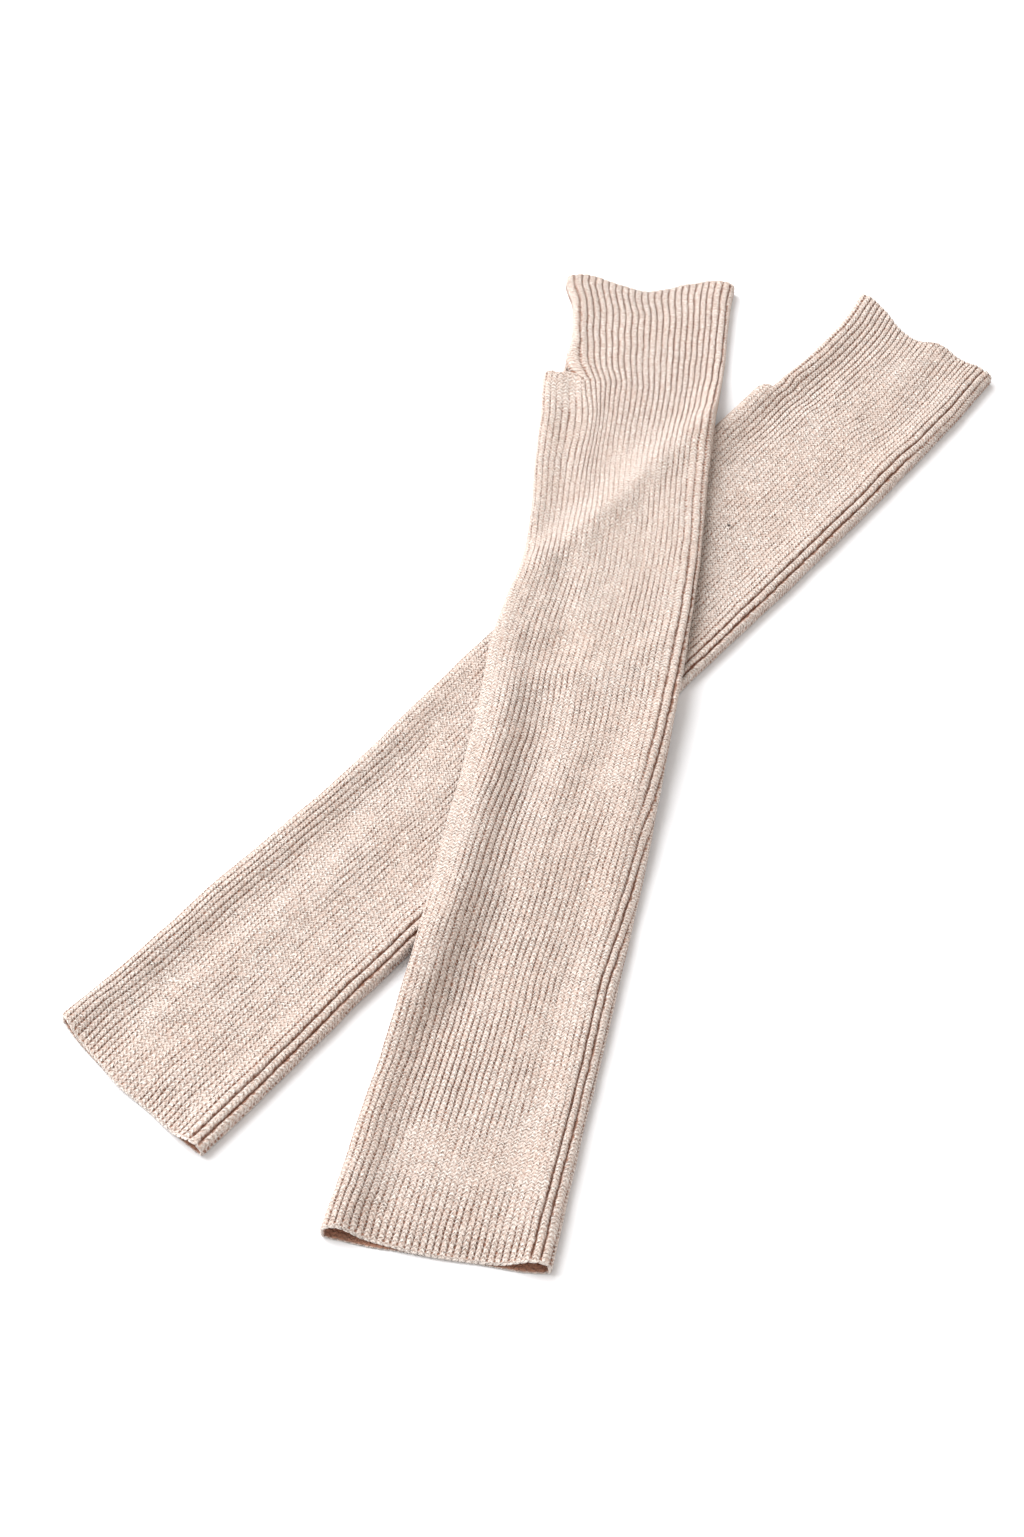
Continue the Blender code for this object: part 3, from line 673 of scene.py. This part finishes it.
# Thickness of the cloth under a groove, thinned towards the hems with a smooth step.
def wallAt(rows):
    toHem = np.minimum(rows, knit["length"] - rows)
    kept = knit["thinnest"] + (1 - knit["thinnest"]) * ease(toHem / knit["thinFrom"])
    return knit["wall"] * kept


# How open the grooves are, which sets their painted shade, and more than 1 where the deep grooves
# get darker painted shade. The offset is that of the arm part with even ribs.
def grooveShadeAmount(warmer, turns, rows):
    turns, rows = turns[None, :], rows[:, None]
    left, right = fromTable(warmer["arm"], 1, rows), fromTable(warmer["arm"], 2, rows)
    places = fromLipMiddle(turns - fromTable(warmer["turned"], 1, rows))
    offset = left - (left - right) * places / knit["ribs"]
    opened = grooveOpening(warmer, turns, rows, offset)
    return opened + deepGrooves(warmer, turns, rows)[1]


class Cloth:
    # Gathers grids of points into one mesh, with the ribs' and stitches' numbers as its UV map.
    def __init__(self):
        self.points, self.faces, self.marks, self.extra, self.count = [], [], [], [], 0

    def addGrid(self, points, turns, rows, hollowShade, apart, bead):
        shape = points.shape[:2]
        index = np.arange(shape[0] * shape[1]).reshape(shape) + self.count
        corners = [index[:-1, :-1], index[:-1, 1:], index[1:, 1:], index[1:, :-1]]
        self.faces.append(np.stack(corners, axis=-1).reshape(-1, 4))
        turns, rows = np.broadcast_to(turns, shape), np.broadcast_to(rows, shape)
        self.marks.append(np.stack([turns, rows / knit["stitch"]], axis=-1).reshape(-1, 2))
        extra = [np.broadcast_to(value, shape) for value in (hollowShade, apart, bead)]
        self.extra.append(np.stack(extra, axis=-1).reshape(-1, 3))
        self.points.append(points.reshape(-1, 3))
        self.count += index.size


# Rims of the arm hem and the hand hem. The inner part of the half circle turns to the hollow's
# painted shade with a smooth step.
def addHems(cloth, turns, handTurns, arm, hand):
    over = overEdge[:, None]
    hollowShade = ease((over - rings["rimOutside"]) / (1 - rings["rimOutside"]))
    past = rings["edgeRows"] * over
    outer, inner = arm
    edge = roundedEdge(outer[0], inner[0], outer[0] - outer[1])
    look = rings["armEdgeLook"]
    cloth.addGrid(edge[::-1], turns, -past[::-1], hollowShade[::-1], *look)
    outer, inner = hand
    edge = roundedEdge(outer[-1], inner[-1], outer[-1] - outer[-2])
    cloth.addGrid(edge, handTurns, knit["length"] + past, hollowShade, *rings["handEdgeLook"])


# Rims of the lip on both sides of the left fold, straight across where the opening's edges join.
def addLip(cloth, turns, arm):
    outer, inner = arm
    lipRibs, around = knit["lipRibs"], 2 * knit["ribs"]
    over = overEdge[:, None]
    rows = knit["lipAt"] + rings["edgeRows"] * over
    hollowShade = rings["edgeHollowShade"] * over
    for first, last in ((0, lipRibs), (around - lipRibs, around)):
        lip = (turns >= first) & (turns <= last)
        bulge = ease((lipRibs - fromLipMiddle(turns[lip])) / rings["lipRound"])
        outwards = outer[-1][lip] - outer[-2][lip]
        edge = roundedEdge(outer[-1][lip], inner[-1][lip], outwards, bulge)
        cloth.addGrid(edge, turns[lip], rows, hollowShade, *rings["armEdgeLook"])


# Both edges of the cloth beside the thumb opening, straight across at its start and its end.
def addOpeningEdges(cloth, notch, hand):
    outer, inner = hand[0][:len(notch)], hand[1][:len(notch)]
    toEnd = np.minimum(notch - knit["lipAt"], knit["openingEnds"] - notch)
    bulge = ease(toEnd / rings["notchRound"])
    rows = notch[:, None]
    over = overEdge[None, :]
    hollowShade = rings["edgeHollowShade"] * over
    look = rings["notchLook"]
    edges = []
    for side, beside in ((0, 1), (-1, -2)):
        outwards = outer[:, side] - outer[:, beside]
        edge = roundedEdge(outer[:, side], inner[:, side], outwards, bulge)
        edges.append(np.moveaxis(edge, 0, 1))
    first, last = edges
    turns = knit["lipRibs"] - over
    cloth.addGrid(first[:, ::-1], turns[:, ::-1], rows, hollowShade[:, ::-1], *look)
    turns = 2 * knit["ribs"] - knit["lipRibs"] + over
    cloth.addGrid(last, turns, rows, hollowShade, *look)


# One warmer: the outer and the inner surface of both parts, and the edges that join them. The
# inner surface takes the hollow's painted shade away from the thumb opening, with a smooth step.
def makeWarmer(warmer):
    turns = turnsRound(warmer)
    onHand = fromLipMiddle(turns) >= knit["lipRibs"]
    handTurns = turns[onHand]
    armRows, handRows = rowsAlong(rings["outer"])
    armInner, handInner = rowsAlong(rings["inner"])
    arm = (
        tubeSurface(warmer, turns, armRows, 0),
        tubeSurface(warmer, turns, armInner, wallAt(armInner)[:, None]),
    )
    hand = (
        tubeSurface(warmer, turns, handRows, 0)[:, onHand],
        tubeSurface(warmer, turns, handInner, wallAt(handInner)[:, None])[:, onHand],
    )

    cloth = Cloth()
    apart = grooveShadeAmount(warmer, turns, armRows)
    cloth.addGrid(arm[0], turns, armRows[:, None], 0, apart, 0)
    apart = grooveShadeAmount(warmer, handTurns, handRows)
    cloth.addGrid(hand[0], handTurns, handRows[:, None], 0, apart, 0)
    look = rings["innerLook"]
    hollowShade = ease((knit["lipAt"] - armInner - rings["paleBelow"]) / rings["paleFade"])
    cloth.addGrid(arm[1][::-1], turns, armInner[::-1, None], hollowShade[::-1, None], *look)
    hollowShade = ease((handInner - knit["lipAt"] - rings["palePast"]) / rings["paleFade"])
    cloth.addGrid(hand[1][::-1], handTurns, handInner[::-1, None], hollowShade[::-1, None], *look)

    addHems(cloth, turns, handTurns, arm, hand)
    addLip(cloth, turns, arm)
    addOpeningEdges(cloth, handRows[:rings["besideOpening"]], hand)
    return weldedMesh(warmer, cloth)


# Puts the grids into one mesh and joins the points that lie on each other.
def weldedMesh(warmer, cloth):
    points = np.concatenate(cloth.points)
    faces = np.concatenate(cloth.faces)
    marks = np.concatenate(cloth.marks)
    extra = np.concatenate(cloth.extra)
    keys = np.round(points / (rings["weldWithin"] * mm)).astype(np.int64)
    _, kept, merged = np.unique(keys, axis=0, return_index=True, return_inverse=True)
    merged = merged.reshape(-1)
    corners = merged[faces]
    whole = np.all(corners != np.roll(corners, 1, axis=1), axis=1)
    faces, corners = faces[whole], corners[whole]
    data = bpy.data.meshes.new(warmer["name"])
    data.from_pydata(points[kept].tolist(), [], corners.tolist())
    ribMap = data.uv_layers.new(name="knitMap")
    ribMap.data.foreach_set("uv", marks[faces].astype(np.float32).ravel())
    # the attributes carry how much painted shade the hollow and the grooves get, and the painted
    # highlight of the bound-off edges
    for number, name in enumerate(("hollowShade", "apart", "bead")):
        attribute = data.attributes.new(name, "FLOAT", "POINT")
        attribute.data.foreach_set("value", extra[kept, number].astype(np.float32))
    data.polygons.foreach_set("use_smooth", np.ones(len(corners), bool))
    data.update()
    piece = bpy.data.objects.new(warmer["name"], data)
    bpy.context.scene.collection.objects.link(piece)
    print(warmer["name"], "has", 2 * len(corners), "triangles")
    return piece


# Finish of the oatmeal rib knit. A step goes from 0 to 1 between its two values.
oatmealKnit = dict(
    cream=(0.915, 0.88, 0.84),
    rose=(0.905, 0.85, 0.80),
    shade=(0.50, 0.29, 0.205),  # between the fibres
    # painted shade of the grooves between the ribs, and below it of the few deep ones
    groove=(0.33, 0.12, 0.058),
    deepGrooveShade=(0.24, 0.09, 0.045),
    # painted shade of the tube's inside
    hollow=(0.52, 0.24, 0.15),
    # painted highlight of the bound-off edges' rims
    edge=(0.98, 0.90, 0.84),
    speck=(0.03, 0.015, 0.01),
    speckAt=(61.3, 89.0, 4.2),
    speckSize=0.7,
    speckStep=(0.6, 1.2),

    # how many a metre
    fibres=2000.0,
    flecks=1100.0,
    patches=45.0,      # where cream and rose change
    ribStrays=480.0,   # of the grooves' edges
    rowStrays=210.0,   # of the rows of stitches

    fibreStep=(0.42, 0.55),
    fleckStep=(0.38, 0.6),
    patchStep=(0.38, 0.62),
    fibreShare=0.4,    # of the grain
    fleckShare=0.6,
    ribStray=0.5,
    rowStray=1.6,
    slant=0.6,         # of a stitch's legs, in rows
    betweenPower=1.5,  # more than 1 makes the gaps between two rows narrower

    grooveStep=(0.56, 0.92),
    grooveLeast=0.2,
    groovePower=1.2,
    dashSize=(0.9, 0.5, 1.0),
    dashStep=(0.4, 0.6),
    dashDepth=0.75,    # by which a groove darkens and pales along a stitch
    dashUneven=(0.8, 0.6),  # share that is uneven, share that is even
    deepUneven=(0.35, 0.65),
    dashLeast=0.15,
    deepStep=(0.7, 0.95),

    # how much of each colour is laid over the ones before it
    shadeShare=0.62,
    betweenShare=0.5,
    edgeHighlightShare=0.8,
    grooveShadeShare=0.9,
    hollowShadeShare=0.92,

    stitchDepth=0.38,
    grooveDent=0.8,
    fuzzDepth=0.26,
    finish={
        "Roughness": 0.95, "Specular IOR Level": 0.15, "Sheen Weight": 0.25,
        "Sheen Roughness": 0.6, "Sheen Tint": (1.0, 0.95, 0.9, 1.0),
    },
)


class Knitter:
    # Adds nodes to a material in short lines.
    def __init__(self, material):
        self.tree = material.node_tree
        self.tree.nodes.clear()

    def add(self, kind, **settings):
        node = self.tree.nodes.new(kind)
        for name, value in settings.items():
            setattr(node, name, value)
        return node

    def join(self, start, end):
        self.tree.links.new(start, end)

    def feed(self, socket, value):
        if isinstance(value, bpy.types.NodeSocket):
            self.join(value, socket)
        else:
            socket.default_value = value

    def calc(self, operation, *values):
        node = self.add("ShaderNodeMath", operation=operation)
        for socket, value in zip(node.inputs, values):
            self.feed(socket, value)
        return node.outputs[0]

    def times(self, *values):
        product = values[0]
        for value in values[1:]:
            product = self.calc("MULTIPLY", product, value)
        return product

    def step(self, value, low, high):
        node = self.add("ShaderNodeMapRange", interpolation_type="SMOOTHSTEP")
        for socket, given in zip(node.inputs, (value, low, high, 0.0, 1.0)):
            self.feed(socket, given)
        return node.outputs[0]

    def blend(self, share, first, second):
        node = self.add("ShaderNodeMix", data_type="RGBA")
        self.feed(node.inputs["Factor"], share)
        for name, value in (("A", first), ("B", second)):
            socket = [s for s in node.inputs if s.name == name and s.type == "RGBA"][0]
            self.feed(socket, (*value, 1.0) if isinstance(value, tuple) else value)
        return [s for s in node.outputs if s.type == "RGBA"][0]

    def noise(self, place, scale, detail=2.0, roughness=0.5):
        node = self.add("ShaderNodeTexNoise")
        self.join(place, node.inputs["Vector"])
        for name, value in (("Scale", scale), ("Detail", detail), ("Roughness", roughness)):
            node.inputs[name].default_value = value
        return node.outputs["Fac"]

    def fact(self, name):
        return self.add("ShaderNodeAttribute", attribute_name=name).outputs["Fac"]

    def bump(self, height, depth):
        node = self.add("ShaderNodeBump")
        node.inputs["Strength"].default_value = 1.0
        node.inputs["Distance"].default_value = depth * mm
        self.join(height, node.inputs["Height"])
        return node


# One knit for both warmers. Across a rib the map's first number runs from groove to groove, and
# the second counts the stitches along it. Each stitch is two slanting legs, and the grooves get
# painted shade, darkest near the gaps between two rows.
def knitMaterial(look):
    material = bpy.data.materials.new("oatmealKnit")
    material.use_nodes = True
    k = Knitter(material)
    ribMap = k.add("ShaderNodeUVMap", uv_map="knitMap").outputs[0]
    parts = k.add("ShaderNodeSeparateXYZ")
    k.join(ribMap, parts.inputs[0])
    turn, row = parts.outputs[0], parts.outputs[1]
    place = k.add("ShaderNodeTexCoord").outputs["Object"]
    apart, hollowShade, bead = k.fact("apart"), k.fact("hollowShade"), k.fact("bead")

    # the distance from a rib's middle, and the legs of the stitches
    stray = k.calc("SUBTRACT", k.noise(place, look["ribStrays"], 2.0), 0.5)
    stray = k.times(stray, look["ribStray"])
    across = k.calc("FRACT", k.calc("ADD", turn, stray))
    away = k.calc("ABSOLUTE", k.calc("SUBTRACT", k.times(across, 2.0), 1.0))
    fibres = k.noise(place, look["fibres"], 2.0, 0.6)
    flecks = k.noise(place, look["flecks"], 3.0, 0.65)
    uneven = k.calc("SUBTRACT", k.noise(place, look["rowStrays"], 1.0), 0.5)
    rowHere = k.calc("ADD", row, k.times(uneven, look["rowStray"]))
    leg = k.calc("FRACT", k.calc("ADD", rowHere, k.times(away, look["slant"])))
    legHeight = k.calc("SINE", k.times(leg, math.pi))
    between = k.calc("POWER", k.calc("SUBTRACT", 1.0, legHeight), look["betweenPower"])

    # painted shade in the grooves, in uneven dashes, and darker in the few deep ones
    stretched = k.add("ShaderNodeVectorMath", operation="MULTIPLY")
    k.join(ribMap, stretched.inputs[0])
    stretched.inputs[1].default_value = look["dashSize"]
    dashes = k.step(k.noise(stretched.outputs[0], 1.0, 2.0, 0.6), *look["dashStep"])
    strength = k.calc("MINIMUM", k.calc("MAXIMUM", apart, look["grooveLeast"]), 1.0)
    strength = k.calc("POWER", strength, look["groovePower"])
    deep = k.calc("MAXIMUM", k.calc("SUBTRACT", apart, 1.0), 0.0)
    deep = k.calc("MINIMUM", deep, 1.0)
    dash = k.calc("SINE", k.times(rowHere, 2 * math.pi))
    dash = k.calc("MULTIPLY_ADD", dash, look["dashDepth"], look["dashDepth"])
    dash = k.times(dash, k.calc("MULTIPLY_ADD", dashes, *look["dashUneven"]))
    deep = k.times(deep, k.calc("MULTIPLY_ADD", dashes, *look["deepUneven"]))
    dash = k.calc("MAXIMUM", k.calc("MAXIMUM", dash, deep), look["dashLeast"])
    groove = k.times(k.step(away, *look["grooveStep"]), strength, dash)
    groove = k.calc("MINIMUM", groove, 1.0)

    # the yarn's colours, then painted shade and the edges' painted highlight laid over them
    fine, coarse = k.step(fibres, *look["fibreStep"]), k.step(flecks, *look["fleckStep"])
    fine, coarse = k.times(fine, look["fibreShare"]), k.times(coarse, look["fleckShare"])
    grain = k.calc("ADD", fine, coarse)
    patch = k.step(k.noise(place, look["patches"], 2.0, 0.5), *look["patchStep"])
    colour = k.blend(patch, look["cream"], look["rose"])
    dark = k.calc("SUBTRACT", 1.0, grain)
    # the grain's darker fibres, with painted shade between them, and painted shade in the gaps
    # between two rows
    colour = k.blend(k.times(dark, look["shadeShare"]), colour, look["shade"])
    colour = k.blend(k.times(between, look["betweenShare"]), colour, look["shade"])
    # painted highlight on the bound-off edges
    colour = k.blend(k.times(bead, look["edgeHighlightShare"]), colour, look["edge"])
    # painted shade in the grooves
    colour = k.blend(k.times(groove, look["grooveShadeShare"]), colour, look["groove"])
    deepest = k.times(k.step(away, *look["deepStep"]), deep)
    colour = k.blend(deepest, colour, look["deepGrooveShade"])
    # painted shade inside the tube
    colour = k.blend(k.times(hollowShade, look["hollowShadeShare"]), colour, look["hollow"])

    # the one dark speck
    distance = k.add("ShaderNodeVectorMath", operation="DISTANCE")
    k.join(place, distance.inputs[0])
    distance.inputs[1].default_value = [value * mm for value in look["speckAt"]]
    near, far = [share * look["speckSize"] * mm for share in look["speckStep"]]
    speck = k.calc("SUBTRACT", 1.0, k.step(distance.outputs["Value"], near, far))
    colour = k.blend(speck, colour, look["speck"])

    # bumps of the stitches and of the fuzz over them
    dent = k.times(groove, look["grooveDent"])
    stitches = k.bump(k.calc("SUBTRACT", legHeight, dent), look["stitchDepth"])
    fuzz = k.bump(grain, look["fuzzDepth"])
    k.join(stitches.outputs[0], fuzz.inputs["Normal"])

    shader = k.add("ShaderNodeBsdfPrincipled")
    k.join(colour, shader.inputs["Base Color"])
    k.join(fuzz.outputs[0], shader.inputs["Normal"])
    for name, value in look["finish"].items():
        shader.inputs[name].default_value = value
    output = k.add("ShaderNodeOutputMaterial")
    k.join(shader.outputs[0], output.inputs["Surface"])
    return material


oatmeal = knitMaterial(oatmealKnit)
print("knit ready")

for warmer in (lowerWarmer, upperWarmer):
    piece = makeWarmer(warmer)
    piece.data.materials.append(oatmeal)
    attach(piece, "root")
    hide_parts(*warmer["stands"])

# Pale floor, soft light from the upper left and the camera at the photo's angle
studio = dict(
    floor=(0.91, 0.94, 0.98),
    floorHalf=4.0,
    floorBelow=0.0002,  # the warmers' undersides
    keyAt=(-1.14, 0.71, 1.38),
    keySize=2.24,
    keyWatts=61.5,
    skyColour=(1.0, 0.925, 0.86),
    skyStrength=0.74,
    lens=70.0,
    sensor=36.0,
    clip=(0.05, 20.0),
    target=(-0.0199, -0.0248, 0.0),
    distance=1.05,
    elevation=51.0,
)


def makeStudio():
    scene = bpy.context.scene
    half = studio["floorHalf"]
    data = bpy.data.meshes.new("studioFloor")
    corners = [(-half, -half, 0), (half, -half, 0), (half, half, 0), (-half, half, 0)]
    data.from_pydata(corners, [], [(0, 1, 2, 3)])
    floor = bpy.data.objects.new("studioFloor", data)
    floor.location.z = -studio["floorBelow"]
    paper = bpy.data.materials.new("palePaper")
    paper.use_nodes = True
    shader = paper.node_tree.nodes["Principled BSDF"]
    shader.inputs["Base Color"].default_value = (*studio["floor"], 1.0)
    shader.inputs["Roughness"].default_value = 1.0
    shader.inputs["Specular IOR Level"].default_value = 0.0
    data.materials.append(paper)
    scene.collection.objects.link(floor)

    lamp = bpy.data.lights.new("keyLight", "AREA")
    lamp.shape = "DISK"
    lamp.size = studio["keySize"]
    lamp.energy = studio["keyWatts"]
    key = bpy.data.objects.new("keyLight", lamp)
    key.location = studio["keyAt"]
    key.rotation_euler = Vector(studio["keyAt"]).to_track_quat("Z", "Y").to_euler()
    scene.collection.objects.link(key)

    world = bpy.data.worlds.new("softSky")
    world.use_nodes = True
    sky = world.node_tree.nodes["Background"]
    sky.inputs["Color"].default_value = (*studio["skyColour"], 1.0)
    sky.inputs["Strength"].default_value = studio["skyStrength"]
    scene.world = world
    scene.view_settings.view_transform = "Standard"

    lens = bpy.data.cameras.new("photoView")
    lens.lens = studio["lens"]
    lens.sensor_width = studio["sensor"]
    lens.clip_start, lens.clip_end = studio["clip"]
    camera = bpy.data.objects.new("photoView", lens)
    rise = math.radians(studio["elevation"])
    back = Vector((0, -math.cos(rise), math.sin(rise)))
    camera.location = Vector(studio["target"]) + back * studio["distance"]
    camera.rotation_euler = (math.pi / 2 - rise, 0, 0)
    scene.collection.objects.link(camera)
    scene.camera = camera


makeStudio()
print("studio ready")
